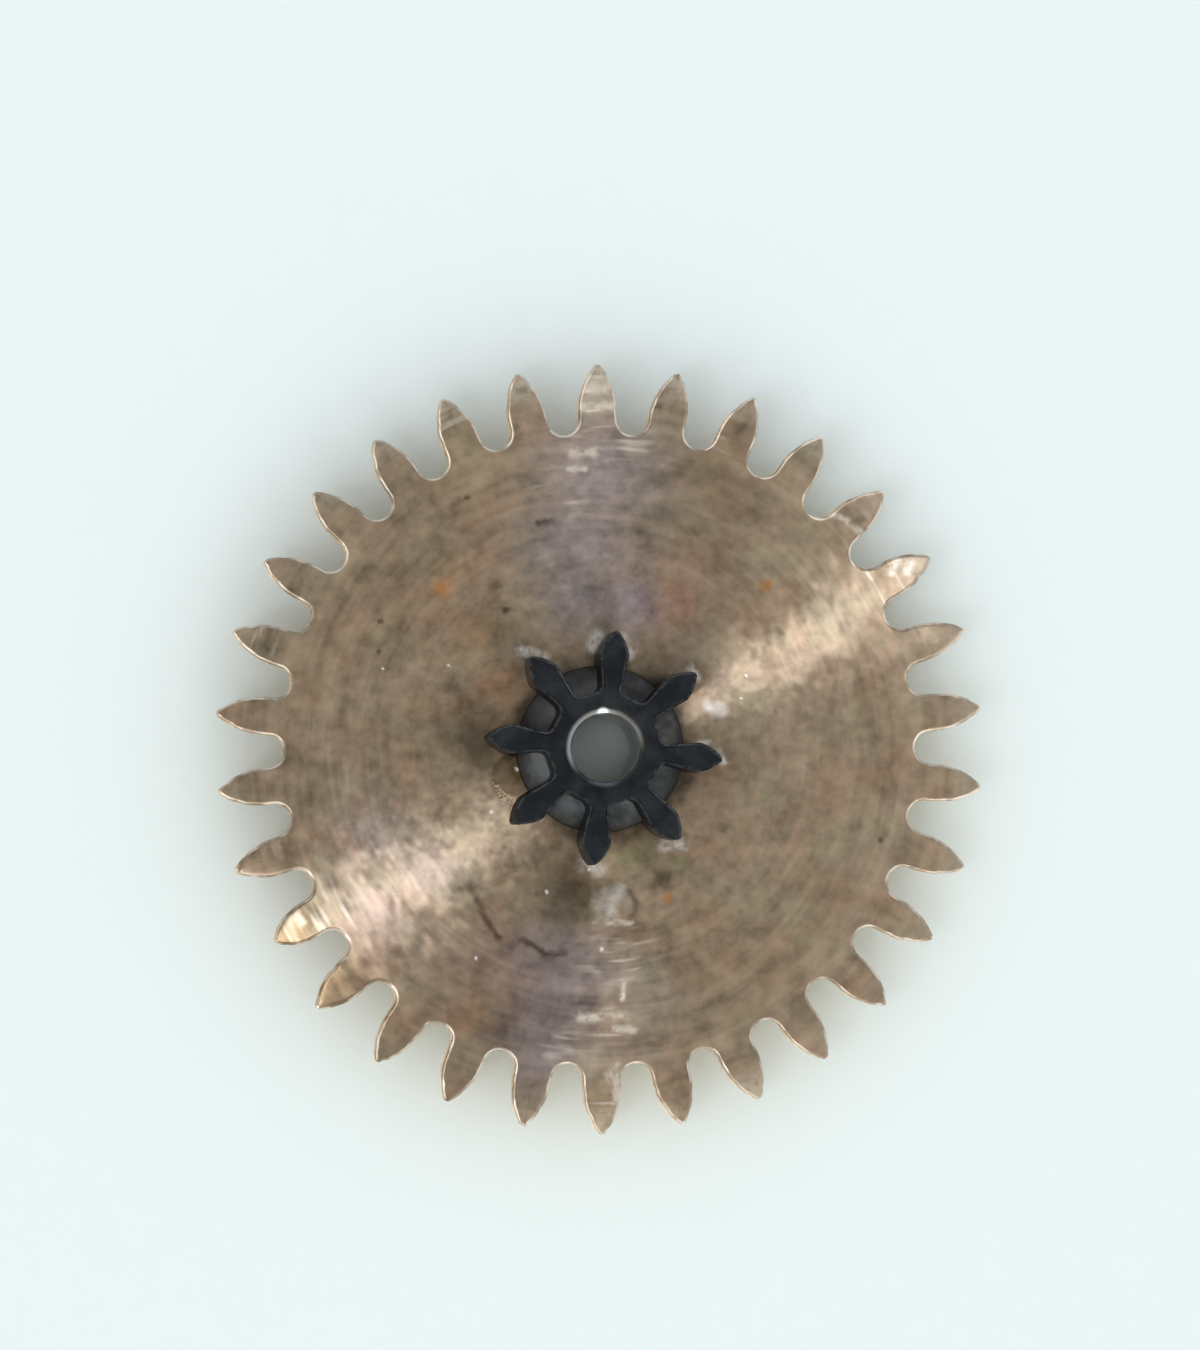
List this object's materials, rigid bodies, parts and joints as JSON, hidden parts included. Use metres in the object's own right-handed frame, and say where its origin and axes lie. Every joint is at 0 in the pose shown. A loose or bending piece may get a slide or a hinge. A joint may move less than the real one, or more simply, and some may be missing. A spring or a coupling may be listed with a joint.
{
  "type": "minute wheel",
  "caption": "Toothed brass wheel riveted to a leaved steel pinion with a through bore, which turns on a fixed post in the motion work of a watch.",
  "frame": {"origin": "on the bore's axis, at the lower face of the hub, which runs on the main plate of the watch", "axes": "+Z along the bore, from the wheel towards the pinion; +Y through the tip of one wheel tooth"},
  "size_m": [0.0058, 0.0058, 0.0012],
  "materials": {
    "brass": "aged, with concentric turning marks, stains and fine scratches",
    "blackened_steel": "hardened and darkened, satin ends, worn bright along the edges"
  },
  "bodies": {
    "root": {"wheel": "brass", "pinion": "blackened_steel"}
  },
  "joints": []
}
